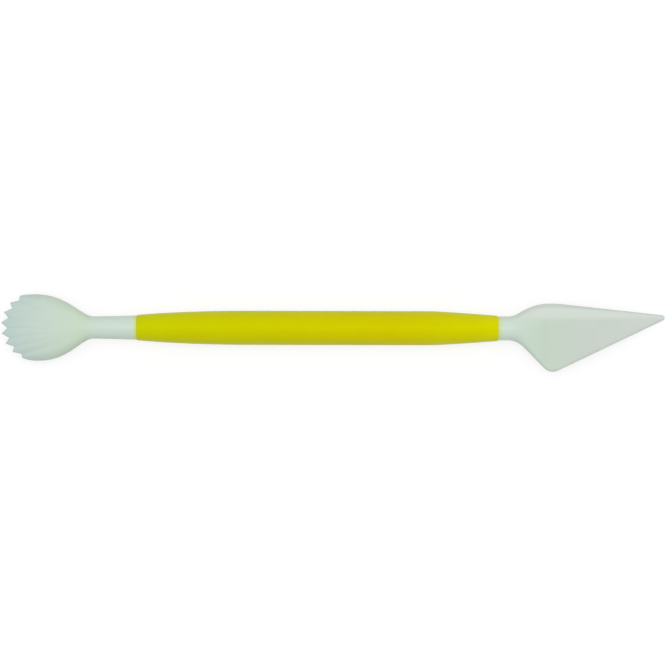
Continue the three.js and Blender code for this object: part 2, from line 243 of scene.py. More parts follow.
def grow(piece, section):
    """Extrudes the open end once, and sets each new point where section(column) says, in millimetres."""
    bpy.ops.mesh.extrude_region_move()
    rings = bmesh.from_edit_mesh(piece.data)
    column = rings.verts.layers.int["column"]
    for point in rings.verts:
        if point.select:
            x, y, z = section(point[column])
            point.co = (x * MM, y * MM, (AXIS_HEIGHT + z) * MM)
    bmesh.update_edit_mesh(piece.data)


def circle_section(count, x, radius):
    """A section that is a circle of numbered points."""

    def place(column):
        angle = 2 * math.pi * column / count
        return x, radius * math.cos(angle), radius * math.sin(angle)

    return place


def pick_points(piece, wanted):
    """Selects the points for which wanted(point, column) is true, with the edges between them."""
    bpy.ops.mesh.select_all(action="DESELECT")
    mesh = bmesh.from_edit_mesh(piece.data)
    column = mesh.verts.layers.int["column"]
    for point in mesh.verts:
        point.select = bool(wanted(point, point[column]))
    mesh.select_flush(True)
    bmesh.update_edit_mesh(piece.data)


print("ring tools ready")

# %% [markdown]
# ## Spigots
#
# Each head has a spigot, a plain round pin that is pushed into the barrel's bore. The finished tool hides it,
# but it is what holds the head, so it is modelled too: a short chamfer, a straight pin, and a flat shoulder
# that meets the barrel's end face.

# %% Spigot sizes
SPIGOT_RADIUS = 1.9
SPIGOT_LENGTH = 14
SPIGOT_CHAMFER = 0.5
SHOULDER_ROUNDING = 0.05
SHOULDER_CORNER = 0.3 * SHOULDER_ROUNDING
SAME_PLACE = 0.01
DOUBLES_GAP = 0.001


def grow_spigot(name, count, face, outward, neck_radius):
    """Starts a head with its spigot. face is the barrel's end face, and outward is +1 or -1 along X."""
    end = face - outward * SPIGOT_LENGTH
    piece = start_ring(name, count, end, SPIGOT_RADIUS - SPIGOT_CHAMFER)
    for x, radius in (
        (end + outward * SPIGOT_CHAMFER, SPIGOT_RADIUS),
        (face, SPIGOT_RADIUS),
        (face, neck_radius - SHOULDER_ROUNDING),
        (face + outward * SHOULDER_CORNER, neck_radius - SHOULDER_CORNER),
        (face + outward * SHOULDER_ROUNDING, neck_radius),
    ):
        grow(piece, circle_section(count, x, radius))
    return piece


def finish_head(piece, spigot_end, smooth_angle):
    """Closes the spigot's end, turns all faces outwards and smooths the round ones."""
    pick_points(piece, lambda point, column: abs(point.co.x / MM - spigot_end) < SAME_PLACE)
    bpy.ops.mesh.edge_face_add()
    bpy.ops.mesh.select_all(action="SELECT")
    bpy.ops.mesh.remove_doubles(threshold=DOUBLES_GAP * MM)
    bpy.ops.mesh.normals_make_consistent(inside=False)
    bpy.ops.object.mode_set(mode="OBJECT")
    piece.data.attributes.remove(piece.data.attributes["column"])
    bpy.ops.object.shade_smooth_by_angle(angle=math.radians(smooth_angle))
    print(piece.name, len(piece.data.polygons), "faces,", open_edges(piece), "open edges")


print("a spigot is", 2 * SPIGOT_RADIUS, "mm thick and", SPIGOT_LENGTH, "mm long")

# %% [markdown]
# ## The shell: its sides
#
# The shell end presses a scallop pattern into the paste. Seen from above, its sides flare out from the
# throat, level off and draw in a little, until the round arc on which the tips of the teeth lie cuts their
# corners. That arc isn't quite in the middle: it lies a third of a millimetre to one side.
#
# Distances here run from the throat towards the teeth, and only the last step turns them towards -X.

# %% Shell: sides
NECK_LENGTH = 11.0
NECK_RADIUS = 3.1
THROAT_RADIUS = 2.83
SHELL_LENGTH = 23.8
SHELL_HALF_WIDTH = 8.63
TIP_ARC_RADIUS = SHELL_HALF_WIDTH + 0.2
TIP_ARC_CENTRE = SHELL_LENGTH - TIP_ARC_RADIUS
TIP_ARC_SHIFT = 0.33
THROAT_HANDLE = 3.3
WIDEST_HANDLE = 8.4
DRAWN_IN = 1.2
CORNER_SOFTNESS = 0.25

shell_side = curve_points(
    [
        (0, THROAT_RADIUS),
        (THROAT_HANDLE, THROAT_RADIUS),
        (TIP_ARC_CENTRE - WIDEST_HANDLE, SHELL_HALF_WIDTH),
        (TIP_ARC_CENTRE, SHELL_HALF_WIDTH),
    ]
)
shell_side += curve_points(
    [
        (TIP_ARC_CENTRE, SHELL_HALF_WIDTH),
        (TIP_ARC_CENTRE + TIP_ARC_RADIUS / 3, SHELL_HALF_WIDTH),
        (SHELL_LENGTH - TIP_ARC_RADIUS / 3, SHELL_HALF_WIDTH - DRAWN_IN / 2),
        (SHELL_LENGTH, SHELL_HALF_WIDTH - DRAWN_IN),
    ]
)[1:]


def shell_edge(x, side):
    """Half the shell's width at x, on the side +1 or -1."""
    beyond = max(0, x - TIP_ARC_CENTRE)
    arc = math.sqrt(max(0, TIP_ARC_RADIUS**2 - beyond**2)) + side * TIP_ARC_SHIFT
    return soft_lower(height_at(shell_side, x), arc, CORNER_SOFTNESS)


print("half width at mid length:", [round(shell_edge(SHELL_LENGTH / 2, side), 2) for side in (1, -1)])

# %% [markdown]
# ## The shell: its teeth
#
# The rim is cut into eight teeth. The tips and the notches between them lie on rays that all start at the
# throat, so the zigzag is drawn with angles, at one pitch. The real teeth aren't quite regular, and neither
# are these: some of the rays lean over by about half a degree.

# %% Shell: corners of the teeth
TOOTH_PITCH = math.radians(6.6)
TOOTH_DEPTH = 1.7
TOOTH_SAG = math.radians(0.95)
LAST_CORNER = 14


def on_tip_arc(angle, back):
    """Where a ray from the throat leaves the arc of the teeth's tips, when that arc is moved back."""
    ray = Vector((math.cos(angle), math.sin(angle)))
    centre = Vector((TIP_ARC_CENTRE - back, TIP_ARC_SHIFT))
    along = ray.dot(centre)
    return ray * (along + math.sqrt(TIP_ARC_RADIUS**2 - centre.length_squared + along**2))


def tooth_point(number):
    """A corner of the zigzag, from 0 at +Y to the last at -Y. Even ones are tips and odd ones notches."""
    share = number / LAST_CORNER
    sag = TOOTH_SAG * share * math.sin(math.pi * share)
    angle = (LAST_CORNER / 2 - number) * TOOTH_PITCH / 2 - sag
    return on_tip_arc(angle, TOOTH_DEPTH * (number % 2))


OUTER_TIPS = {1: tooth_point(0), -1: tooth_point(LAST_CORNER)}
OUTER_NOTCHES = {1: tooth_point(1), -1: tooth_point(LAST_CORNER - 1)}
print("outer tips at", [[round(value, 2) for value in tip] for tip in OUTER_TIPS.values()])

# %% [markdown]
# ## The shell: its columns
#
# The columns of points run from the neck to the teeth like the ribs of a fan. Six of them lie between each
# tip and the next notch, so that every rib has a round back and a clean valley, and fourteen fill each side.
# Eight of those fourteen lie on the flat rim, so that the hollow underneath gets a clean edge as well. In the
# neck the columns are evenly spread round the circle, and they glide over into the fan in the first half of
# the shell.

# %% Shell: columns
SIDE_COLUMNS = 14
RIM_COLUMNS = 8
COLUMNS_PER_HALF_PITCH = 6
TOP_LAST = 2 * SIDE_COLUMNS + (LAST_CORNER - 2) * COLUMNS_PER_HALF_PITCH
RING_COUNT = 2 * TOP_LAST
FAN_FULL_FROM = 11.0
SIDE_WALL = 1.2
TIP_WALL = 0.8


def column_phase(column):
    """0 on a tooth's ray, 1 on a notch's, for a column of the upper side."""
    inner = column - SIDE_COLUMNS
    if inner < 0:
        return 1 + inner / SIDE_COLUMNS
    if inner > TOP_LAST - 2 * SIDE_COLUMNS:
        return 1 - (inner - (TOP_LAST - 2 * SIDE_COLUMNS)) / SIDE_COLUMNS
    return abs(1 - inner / COLUMNS_PER_HALF_PITCH % 2)


def inner_end(column):
    """Where a column between the two outermost notches ends, on the zigzag of the teeth."""
    number = 1 + (column - SIDE_COLUMNS) / COLUMNS_PER_HALF_PITCH
    return tooth_point(math.floor(number)).lerp(tooth_point(math.floor(number) + 1), number % 1)


def wall_at(x):
    """Thickness of the shell's wall at x."""
    return mix(SIDE_WALL, TIP_WALL, x / SHELL_LENGTH)


def side_place(column, share, side):
    """Place in plan of a side column, counted from the edge, at this share of its length from the throat."""
    tip, notch = OUTER_TIPS[side], OUTER_NOTCHES[side]
    edge = shell_edge(share * tip.x, side)
    rim_angle = math.acos(1 - min(wall_at(share * tip.x), edge / 2) / edge)
    notch_angle = math.acos(min(1, share * abs(notch.y) / edge))
    if column <= RIM_COLUMNS:
        angle = rim_angle * column / RIM_COLUMNS
    else:
        angle = mix(rim_angle, notch_angle, (column - RIM_COLUMNS) / (SIDE_COLUMNS - RIM_COLUMNS))
    end_angle = math.acos(notch.y / tip.y)
    flank = (1 - math.cos(min(angle, end_angle))) / (1 - math.cos(end_angle))
    return share * mix(tip.x, notch.x, flank), side * edge * math.cos(angle)


def shell_place(column, share):
    """Place in plan of a column of the upper side, at this share of its length from the throat."""
    side = 1 if column <= TOP_LAST // 2 else -1
    from_edge_columns = min(column, TOP_LAST - column)
    if from_edge_columns < SIDE_COLUMNS:
        x, fan_y = side_place(from_edge_columns, share, side)
    else:
        x, fan_y = inner_end(column) * share
    round_y = shell_edge(x, side) * math.cos(math.pi * column / TOP_LAST)
    return x, mix(round_y, fan_y, ease(share * SHELL_LENGTH, 0, FAN_FULL_FROM))


print("shell columns on the upper side:", TOP_LAST + 1)

# %% [markdown]
# ## The shell: its upper side
#
# The upper side is a low dome: every cross-section is half an ellipse between the rim and the crown. Shallow
# ribs run from the teeth towards the throat and die away before they reach it. The outermost rib of each side
# is fuller than the rest, with a soft fold beside it. The edge over the teeth is rounded.

# %% Shell: the dome and its ribs
CROWN = [(0, THROAT_RADIUS), (SHELL_LENGTH / 3, 3.5), (SHELL_LENGTH * 2 / 3, 3.5), (SHELL_LENGTH, 0.9)]
RIM = [(0, 0), (SHELL_LENGTH / 3, 0), (SHELL_LENGTH * 2 / 3, -2.2), (SHELL_LENGTH, -0.9)]
RIB_DEPTH = 0.17
RIB_SHARPNESS = 3
RIB_RISE = (7, 23)
SWELL_SHARE = 0.055
SWELL_RISE = (1, 7)
FOLD_DEPTH = 0.15
FOLD_WIDTH = 0.5
FOLD_SHIFT = 0.4
FOLD_RISE = (8, 18)
MEAN_COLUMN_LENGTH = 21.0
TIP_ROUNDING = 0.38
crown_line = curve_points(CROWN)
rim_line = curve_points(RIM)


def rounding_drop(share, radius):
    """How far a rounded edge of the teeth lies below its face, at this share of the shell's length."""
    inside = min(1, (1 - share) * MEAN_COLUMN_LENGTH / radius)
    return radius * (1 - math.sqrt(1 - (1 - inside) ** 2))


def bulge_at(x, y):
    """Height of a half ellipse over the shell's whole width, as a share of its middle height."""
    return math.sqrt(max(0, 1 - (y / height_at(shell_side, x)) ** 2))


def side_lobe(x, y):
    """How far the outermost ribs rise above the plain dome, with a fold between them and the others."""
    side = 1 if y > 0 else -1
    fold_y = x * abs(OUTER_NOTCHES[side].y) / OUTER_NOTCHES[side].x + FOLD_SHIFT
    width, beyond = shell_edge(x, side) - fold_y, abs(y) - fold_y
    swell = SWELL_SHARE * width * math.sin(math.pi * min(1, max(0, beyond / width))) ** 2
    fold = FOLD_DEPTH * math.exp(-((beyond / FOLD_WIDTH) ** 2))
    return swell * ease(x, *SWELL_RISE) - fold * ease(x, *FOLD_RISE)


def dome_point(column, share):
    """A point of the upper side."""
    x, y = shell_place(column, share)
    rim, crown = height_at(rim_line, x), height_at(crown_line, x)
    rib = RIB_DEPTH * ease(x, *RIB_RISE) * column_phase(column) ** RIB_SHARPNESS
    dome = rim + (crown - rim) * bulge_at(x, y) + side_lobe(x, y)
    return x, y, dome - rib - rounding_drop(share, TIP_ROUNDING)


heights = [round(height_at(line, SHELL_LENGTH / 2), 2) for line in (crown_line, rim_line)]
print("crown and rim at mid length:", heights)

# %% [markdown]
# ## The shell: its underside
#
# The underside is hollow like a spoon, with a wall of about one millimetre, and its bowl begins with a round
# nose where the neck's keel dies away. The photograph doesn't show the underside, so it is kept plain.
#
# A nose that crosses the columns would get a jagged edge. So the columns of the underside move instead: those
# of the bowl are drawn together towards the nose, and those of the rim spread out to fill the gap.

# %% Shell: the hollow
KEEL_LENGTH = 10.0
SCOOP_START = 4.0
SCOOP_RUN_IN = 7.0
NOSE_SHARE = 0.16
UNDER_ROUNDING = 0.15


def hollow_point(column, share):
    """A point of the underside, below a column of the upper side."""
    side = 1 if column <= TOP_LAST // 2 else -1
    from_edge_columns = min(column, TOP_LAST - column)
    edge_x, edge_y = shell_place(0 if side == 1 else TOP_LAST, share)
    border_y = shell_place(RIM_COLUMNS if side == 1 else TOP_LAST - RIM_COLUMNS, share)[1]
    x, y = shell_place(column, share)
    ring_x = share * (OUTER_TIPS[1].x + OUTER_TIPS[-1].x) / 2
    level_x = mix(edge_x, ring_x, min(1, from_edge_columns / RIM_COLUMNS))
    x = mix(level_x, x, ease(ring_x, SCOOP_START, SCOOP_START + SCOOP_RUN_IN))
    run_in = min(1, max(0, (x - SCOOP_START) / SCOOP_RUN_IN))
    opened = math.sqrt(1 - (1 - NOSE_SHARE**2) * (1 - run_in) ** 2)
    drawn = max(opened, mix(1, NOSE_SHARE, ease(x, 0, SCOOP_START)))
    rim = height_at(rim_line, x)
    if from_edge_columns > RIM_COLUMNS:
        y *= drawn
        if run_in > 0:
            depth = height_at(crown_line, x) - rim - wall_at(x)
            ceiling = depth * math.sqrt(max(0, opened**2 - (y / border_y) ** 2))
            return x, y, rim + ceiling + rounding_drop(share, UNDER_ROUNDING)
    else:
        y = edge_y * math.cos(math.acos(drawn * border_y / edge_y) * from_edge_columns / RIM_COLUMNS)
    keel = THROAT_RADIUS * math.sin(min(1, max(0, 1 - x / KEEL_LENGTH)) * math.pi / 2) ** 2
    return x, y, rim - keel * bulge_at(x, y) + rounding_drop(share, UNDER_ROUNDING)


print("the hollow begins", SCOOP_START, "mm from the throat")

# %% [markdown]
# ## The shell: one whole ring
#
# A ring of the shell is its upper side and its underside, joined at the two edges, which are lifted a little
# to round them. Between the throat and the teeth all of the ring sways slightly to one side, as the real
# shell does.

# %% Shell: cross-section
RIM_LIFT = 0.22
SWAY = -0.13
SWAY_RISE = (1, 8)
SWAY_FALL = (14, 22)


def shell_section(share):
    """The shell's cross-section at this share of its length from the throat."""

    def place(column):
        if column <= TOP_LAST:
            x, y, z = dome_point(column, share)
        else:
            x, y, z = hollow_point(RING_COUNT - column, share)
        if column in (0, TOP_LAST):
            z = height_at(rim_line, x) + RIM_LIFT * ease(x, 0, KEEL_LENGTH)
        sway = SWAY * ease(x, *SWAY_RISE) * (1 - ease(x, *SWAY_FALL))
        return x, y + sway, z

    return place


print("a ring of the shell has", RING_COUNT, "points")

# %% [markdown]
# ## The shell: growing it
#
# Now the ring grows: spigot, shoulder, neck, dome. The last few rings lie close together, because that is
# where the edge over the teeth turns round. A bridge between the upper and the lower half of the last ring
# then makes the end wall behind the eight teeth, and one small face closes it at each corner.

# %% Shell: grow the neck and the dome
NECK_RINGS = 8
DOME_RINGS = 84
LAST_RINGS = (0.5, 0.38, 0.28, 0.19, 0.11, 0.05, 0.015, 0)


def towards_shell(section):
    """The same section, measured from the throat towards -X."""

    def place(column):
        x, y, z = section(column)
        return -BARREL_HALF - NECK_LENGTH - x, y, z

    return place


white_shell = grow_spigot("white_shell", RING_COUNT, -BARREL_HALF, -1, NECK_RADIUS)
for ring in range(1, NECK_RINGS):
    share = ring / NECK_RINGS
    radius = mix(NECK_RADIUS, THROAT_RADIUS, share)
    grow(white_shell, circle_section(RING_COUNT, -BARREL_HALF - NECK_LENGTH * share, radius))
dome_end = 1 - LAST_RINGS[0] / MEAN_COLUMN_LENGTH
shares = [dome_end * ring / DOME_RINGS for ring in range(DOME_RINGS)]
shares += [1 - distance / MEAN_COLUMN_LENGTH for distance in LAST_RINGS]
for share in shares:
    grow(white_shell, towards_shell(shell_section(share)))
last_ring = [point for point in bmesh.from_edit_mesh(white_shell.data).verts if point.select]
print("points in the last ring:", len(last_ring))


# %% Shell: close the teeth and the spigot
def rounded_place(point):
    """A point's place, rounded so that it can be compared."""
    return tuple(round(value, 9) for value in point.co)


last_places = {rounded_place(point) for point in last_ring}


def pick_last(wanted):
    """Selects the points of the shell's last ring whose column is wanted."""
    pick_points(white_shell, lambda point, column: wanted(column) and rounded_place(point) in last_places)


pick_last(lambda column: column not in (0, TOP_LAST))
bpy.ops.mesh.bridge_edge_loops()
for corner in (0, TOP_LAST):
    beside = {corner, (corner + 1) % RING_COUNT, (corner - 1) % RING_COUNT}
    pick_last(lambda column: column in beside)
    bpy.ops.mesh.edge_face_add()
finish_head(white_shell, spigot_end=SPIGOT_LENGTH - BARREL_HALF, smooth_angle=32)

# %% [markdown]
# ## The blade: its outline
#
# The other head is a flat blade for cutting and for marking veins. Its spine rises from the neck and runs
# straight to the point. On the other side a back line drops steeply to a rounded heel, and a straight cutting
# edge leads from the heel to the point. The two sides are drawn as two rows of points, and every ring of the
# blade hangs between them. Distances run from the blade's throat towards +X.
#
# The straight parts need no points of their own: each arc begins where the line before it touches it.

# %% Blade: the point and the spine
BLADE_NECK_LENGTH = 2.8
BLADE_NECK_RADIUS = 3.075
BLADE_LENGTH = 40.0
TIP_RADIUS = 0.72
TIP_CENTRE = Vector((BLADE_LENGTH - TIP_RADIUS, 2.77))
SPINE_ANGLE = math.radians(6.15)
SPINE_STRAIGHT_FROM = 13.8
SPINE_NECK_HANDLE = 3.3
SPINE_HANDLE = 9.4


def arc_point(centre, radius, angle):
    """A point on an arc."""
    return Vector((centre[0] + radius * math.cos(angle), centre[1] + radius * math.sin(angle)))


def arc_points(centre, radius, start, end, steps=40):
    """Points on an arc from one angle to another."""
    return [arc_point(centre, radius, mix(start, end, step / steps)) for step in range(steps + 1)]


across = math.pi / 2 - SPINE_ANGLE
spine_touch = arc_point(TIP_CENTRE, TIP_RADIUS, across)
spine_straight_y = spine_touch.y + (spine_touch.x - SPINE_STRAIGHT_FROM) * math.tan(SPINE_ANGLE)
spine_line = curve_points(
    [
        (0, BLADE_NECK_RADIUS),
        (SPINE_NECK_HANDLE, BLADE_NECK_RADIUS),
        (SPINE_STRAIGHT_FROM - SPINE_HANDLE, spine_straight_y + SPINE_HANDLE * math.tan(SPINE_ANGLE)),
        (SPINE_STRAIGHT_FROM, spine_straight_y),
    ]
)
spine_line += arc_points(TIP_CENTRE, TIP_RADIUS, across, 0)
print("spine highest at", round(max(point.y for point in spine_line), 2), "mm")

# %% Blade: the back, the heel and the cutting edge
HEEL_RADIUS = 3.1
HEEL_CENTRE = Vector((11.35, HEEL_RADIUS - 11.1))
BACK_ANGLE = math.radians(45.6)
BACK_FILLET = 5.6

between = TIP_CENTRE - HEEL_CENTRE
edge_normal = math.atan2(between.y, between.x) - math.acos((HEEL_RADIUS - TIP_RADIUS) / between.length)
back_normal = -math.pi / 2 - BACK_ANGLE
heel_touch = arc_point(HEEL_CENTRE, HEEL_RADIUS, back_normal)
fillet_y = -BLADE_NECK_RADIUS - BACK_FILLET
fillet_touch_y = fillet_y + BACK_FILLET * math.cos(BACK_ANGLE)
fillet_touch_x = heel_touch.x - (fillet_touch_y - heel_touch.y) / math.tan(BACK_ANGLE)
fillet_centre = (fillet_touch_x - BACK_FILLET * math.sin(BACK_ANGLE), fillet_y)
cutting_line = arc_points(fillet_centre, BACK_FILLET, math.pi / 2, math.pi / 2 - BACK_ANGLE)
cutting_line += arc_points(HEEL_CENTRE, HEEL_RADIUS, back_normal, edge_normal)
cutting_line += arc_points(TIP_CENTRE, TIP_RADIUS, edge_normal, 0)
edge_touch = arc_point(HEEL_CENTRE, HEEL_RADIUS, edge_normal)
edge_slope = math.tan(edge_normal + math.pi / 2)
print("blade deepest at", round(min(point.y for point in cutting_line), 2), "mm")

# %% [markdown]
# ## The blade: its thickness
#
# The blade is thickest along a soft crease a little over its middle. Below the crease the face thins gently
# towards the cutting edge. Above it a slightly bulging bevel leads to the spine, which is thin towards the
# point, and thick near the neck, where its flank is steep and round. The two slopes are joined by a rounded
# maximum, because a moulded crease is never sharp, and the cutting edge is rounded too.
#
# Near the neck the same ring is a circle, and it turns into the blade over the first eleven millimetres.

# %% Blade: roundings of its edges
SPINE_FULLNESS = 1.25
EDGE_FULLNESS = 2
EDGE_ROUNDING = 0.9
EDGE_COLUMNS = 7
CLOSE_REACH = 1.15
CLOSE_SHARE = 0.45


def rounded_edge(aside, rounding, fullness):
    """0 at an edge and 1 past its rounding. A fullness of 2 makes it a quarter of an ellipse."""
    return (1 - (1 - min(1, max(0, aside) / rounding)) ** fullness) ** (1 / fullness)


def from_edge(column, columns, length, rounding):
    """Distance from an edge to a column between it and the crease. At the rounding they lie close."""
    close = min(CLOSE_REACH * rounding, CLOSE_SHARE * length)
    if column <= EDGE_COLUMNS:
        return close * (1 - math.cos(math.pi / 2 * column / EDGE_COLUMNS))
    return mix(close, length, (column - EDGE_COLUMNS) / (columns - EDGE_COLUMNS))


print("rounding of the cutting edge:", EDGE_ROUNDING, "mm")

# %% Blade: cross-section
EDGE_HALF = 0.4
FACE_SLOPE = 0.1
SPINE_HALVES = (1.45, 0.22)
SPINE_ROUNDINGS = (1.15, 0.35)
SPINE_THINS = (10, 29)
ROOT_FULLNESS = 1.9
TIP_FULLNESS = 2.6
CREASE_HEIGHT = 3.05
CREASE_RISE = (3.4, 10.4)
CREASE_SOFTNESS = 0.06
BLADE_ROOT_LENGTH = 11.0
BLADE_RING_COUNT = 96
BLADE_TOP_LAST = BLADE_RING_COUNT // 2
BEVEL_COLUMNS = 20
FACE_COLUMNS = BLADE_TOP_LAST - BEVEL_COLUMNS


def blade_section(x):
    """The blade's cross-section at x."""
    top, bottom = height_at(spine_line, x), height_at(cutting_line, x)
    middle, reach = (top + bottom) / 2, (top - bottom) / 2
    crease = mix(middle, min(CREASE_HEIGHT, middle + reach / 2), ease(x, *CREASE_RISE))
    edge_y = edge_touch.y + (x - edge_touch.x) * edge_slope
    flat = ease(x, 0, BLADE_ROOT_LENGTH)
    fullness = mix(ROOT_FULLNESS, TIP_FULLNESS, ease(x, BLADE_ROOT_LENGTH / 2, 2 * BLADE_ROOT_LENGTH))
    thinned = ease(x, *SPINE_THINS)
    spine_half, spine_rounding = mix(*SPINE_HALVES, thinned), mix(*SPINE_ROUNDINGS, thinned)

    def place(column):
        front = column <= BLADE_TOP_LAST
        upper = column if front else BLADE_RING_COUNT - column
        if upper <= BEVEL_COLUMNS:
            blade_y = top - from_edge(upper, BEVEL_COLUMNS, top - crease, spine_rounding)
        else:
            lower = BLADE_TOP_LAST - upper
            blade_y = bottom + from_edge(lower, FACE_COLUMNS, crease - bottom, EDGE_ROUNDING)
        round_y = middle + reach * math.cos(math.pi * upper / BLADE_TOP_LAST)
        y = mix(round_y, blade_y, flat)
        face = EDGE_HALF + FACE_SLOPE * (y - edge_y)
        ridge = EDGE_HALF + FACE_SLOPE * (crease - edge_y)
        up = min(1, max(0, (y - crease) / (top - crease)))
        bevel = spine_half + (ridge - spine_half) * (1 - up**fullness) ** (1 / fullness)
        spine_edge = rounded_edge(top - y, spine_rounding, SPINE_FULLNESS)
        cutting_edge = rounded_edge(y - bottom, EDGE_ROUNDING, EDGE_FULLNESS)
        half = soft_lower(face, bevel, CREASE_SOFTNESS) * (spine_edge * cutting_edge)
        neck = BLADE_NECK_RADIUS * math.sqrt(max(0, 1 - ((y - middle) / reach) ** 2))
        z = mix(neck, half, flat)
        return x, y, z if front else -z

    return place


print("a ring of the blade has", BLADE_RING_COUNT, "points")

# %% Blade: grow it
BLADE_NECK_RINGS = 4
BLADE_STEP = 0.35
TIP_RINGS = 14


def towards_blade(section):
    """The same section, measured from the blade's throat towards +X."""

    def place(column):
        x, y, z = section(column)
        return BARREL_HALF + BLADE_NECK_LENGTH + x, y, z

    return place


white_blade = grow_spigot("white_blade", BLADE_RING_COUNT, BARREL_HALF, 1, BLADE_NECK_RADIUS)
for ring in range(1, BLADE_NECK_RINGS):
    x = BARREL_HALF + BLADE_NECK_LENGTH * ring / BLADE_NECK_RINGS
    grow(white_blade, circle_section(BLADE_RING_COUNT, x, BLADE_NECK_RADIUS))
steps = round(TIP_CENTRE.x / BLADE_STEP)
stations = [TIP_CENTRE.x * step / steps for step in range(steps)]
stations += [
    TIP_CENTRE.x + TIP_RADIUS * math.sin(math.pi / 2 * step / TIP_RINGS) for step in range(TIP_RINGS)
]
for x in stations:
    grow(white_blade, towards_blade(blade_section(x)))
bpy.ops.mesh.extrude_region_move()
bpy.ops.mesh.merge(type="CENTER")
finish_head(white_blade, spigot_end=BARREL_HALF - SPIGOT_LENGTH, smooth_angle=40)

# %% [markdown]
# ## Putting the pieces into the frame
#
# Each new piece stands for one node of the frame and takes its place. The tool is rigid, so all three pieces
# ride on the one body that the frame has, which is called root. The slot is the name under which the part's
# record lists the finish of the piece.

# %% Ride on the frame
for piece, node, slot in (
    (yellow_barrel, "handle_barrel", "handle_yellow"),
    (white_shell, "shell_head", "shell_white"),
    (white_blade, "blade_head", "blade_white"),
):
    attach(piece, "root")
    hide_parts(node)
    print(piece.name, "stands for", node)

# %% [markdown]
# ## Writing a finish as arithmetic
#
# A shader is easier to read as a sum than as a web of nodes. The first class below wraps the output of one
# node, so that values can be added, multiplied and subtracted in plain Python, and each sign adds its own
# Math node. Every other node comes from one method of the second class, which is given the node's type, its
# settings and its sockets.


# %% Shader arithmetic
class Output:
    """The output of a shader node, which can be used in sums."""

    def __init__(self, finish, socket):
        self.finish = finish
        self.socket = socket

    def math(self, operation, *values, clamp=False):
        return self.finish.node(
            "ShaderNodeMath", {"operation": operation, "use_clamp": clamp}, dict(enumerate(values))
        )

    def __add__(self, other):
        return self.math("ADD", self, other)

    def __radd__(self, other):
        return self.math("ADD", other, self)

    def __sub__(self, other):
        return self.math("SUBTRACT", self, other)

    def __rsub__(self, other):
        return self.math("SUBTRACT", other, self)

    def __mul__(self, other):
        return self.math("MULTIPLY", self, other)

    def __rmul__(self, other):
        return self.math("MULTIPLY", other, self)

    def size(self):
        """The value without its sign."""
        return self.math("ABSOLUTE", self)

    def clamped(self):
        """The value, kept from 0 to 1."""
        return self.math("ADD", self, 0.0, clamp=True)

    def between(self, start, end):
        """0 where the value is start, 1 where it is end, and a smooth rise from one to the other."""
        return self.finish.node(
            "ShaderNodeMapRange",
            {"interpolation_type": "SMOOTHSTEP"},
            {"Value": self, "From Min": start, "From Max": end},
        )

    def sibling(self, name):
        """Another output of the same node."""
        return Output(self.finish, self.socket.node.outputs[name])


print("outputs can be added, subtracted and multiplied")


# %% A node tree that is written in Python
class Finish:
    """A node tree that is being written."""

    def __init__(self, owner):
        owner.use_nodes = True
        self.tree = owner.node_tree
        self.tree.nodes.clear()

    def node(self, kind, settings=None, sockets=None, output=0):
        """Adds a node. Its settings are set first, and its sockets get values or links."""
        made = self.tree.nodes.new(kind)
        for name, value in (settings or {}).items():
            if name == "stops":
                self.set_stops(made.color_ramp, value)
            else:
                setattr(made, name, value)
        for name, value in (sockets or {}).items():
            if isinstance(value, Output):
                self.tree.links.new(value.socket, made.inputs[name])
            else:
                made.inputs[name].default_value = value
        return Output(self, made.outputs[output] if made.outputs else None)

    def set_stops(self, ramp, stops):
        while len(ramp.elements) < len(stops):
            ramp.elements.new(1.0)
        for element, (place, colour) in zip(ramp.elements, stops):
            element.position = place
            element.color = colour

    def mixed(self, share, first, second):
        """A colour between two colours."""
        colour = {"data_type": "RGBA", "clamp_factor": True}
        return self.node("ShaderNodeMix", colour, {0: share, 6: first, 7: second}, output=2)

    def noise(self, place, size, detail=2.0, roughness=0.5):
        """Soft noise with spots of about this size in millimetres."""
        sockets = {"Vector": place, "Scale": 1 / (size * MM), "Detail": detail, "Roughness": roughness}
        return self.node("ShaderNodeTexNoise", {"noise_dimensions": "3D"}, sockets)

    def stretched(self, place, lengthwise):
        """The same place, with the pattern on it drawn out along the tool."""
        scale = (1 / lengthwise, 1, 1)
        return self.node(
            "ShaderNodeMapping", {"vector_type": "POINT"}, {"Vector": place, "Scale": scale}
        )


def linear(red, green, blue):
    """A screen colour from 0 to 255 as the light values that a shader wants."""
    channels = [channel / 255 for channel in (red, green, blue)]
    return (*[c / 12.92 if c <= 0.04045 else ((c + 0.055) / 1.055) ** 2.4 for c in channels], 1.0)


print("a mid grey of 128 is", round(linear(128, 128, 128)[0], 3), "in a shader")

# %% [markdown]
# ## The yellow plastic
#
# The barrel is dyed all through, in a strong yellow with a satin gloss. It isn't the same everywhere: where
# the white spigots fill the bore, the yellow is painted paler and a little greener, as painted light that
# comes back from inside, at the blade end it is painted lighter still for the highlight on the taper, and in
# the hollow middle it is warmer. Moulding leaves faint streaks along the flow, and handling leaves the
# gloss a little uneven. The streaks are noise that is stretched along the tool, and the change from end to
# end is a ramp along X. The gloss is tinted yellow, as it is on a deeply dyed plastic.

# %% What both plastics share
PLASTIC = {"Subsurface Weight": 0.15, "Subsurface Scale": 0.6 * MM, "IOR": 1.46}
GRAIN_HEIGHT = 0.02
print("light goes", round(PLASTIC["Subsurface Scale"] / MM, 2), "mm into the plastic")

# %% Yellow finish
# Partly painted light: the paler, greener ends stand for light from inside the bore, and the lightest end for
# the highlight on the blade end's taper.
YELLOWS_AND_PAINTED_LIGHT = [
    (0.0, linear(200, 212, 4)),
    (0.1, linear(205, 207, 2)),
    (0.25, linear(205, 205, 1)),
    (0.5, linear(209, 204, 1)),
    (0.7, linear(211, 202, 1)),
    (0.86, linear(214, 210, 1)),
    (1.0, linear(219, 219, 4)),
]
DEEP_YELLOW = linear(196, 192, 3)
STREAK_TONE = 0.09
CLOUD_TONE = 0.07
TONE_SHIFT = 0.05
TONE_GAIN = 5
YELLOW_ROUGHNESS = 0.32
YELLOW_UNEVENNESS = 0.16
STREAK_RELIEF = 0.8

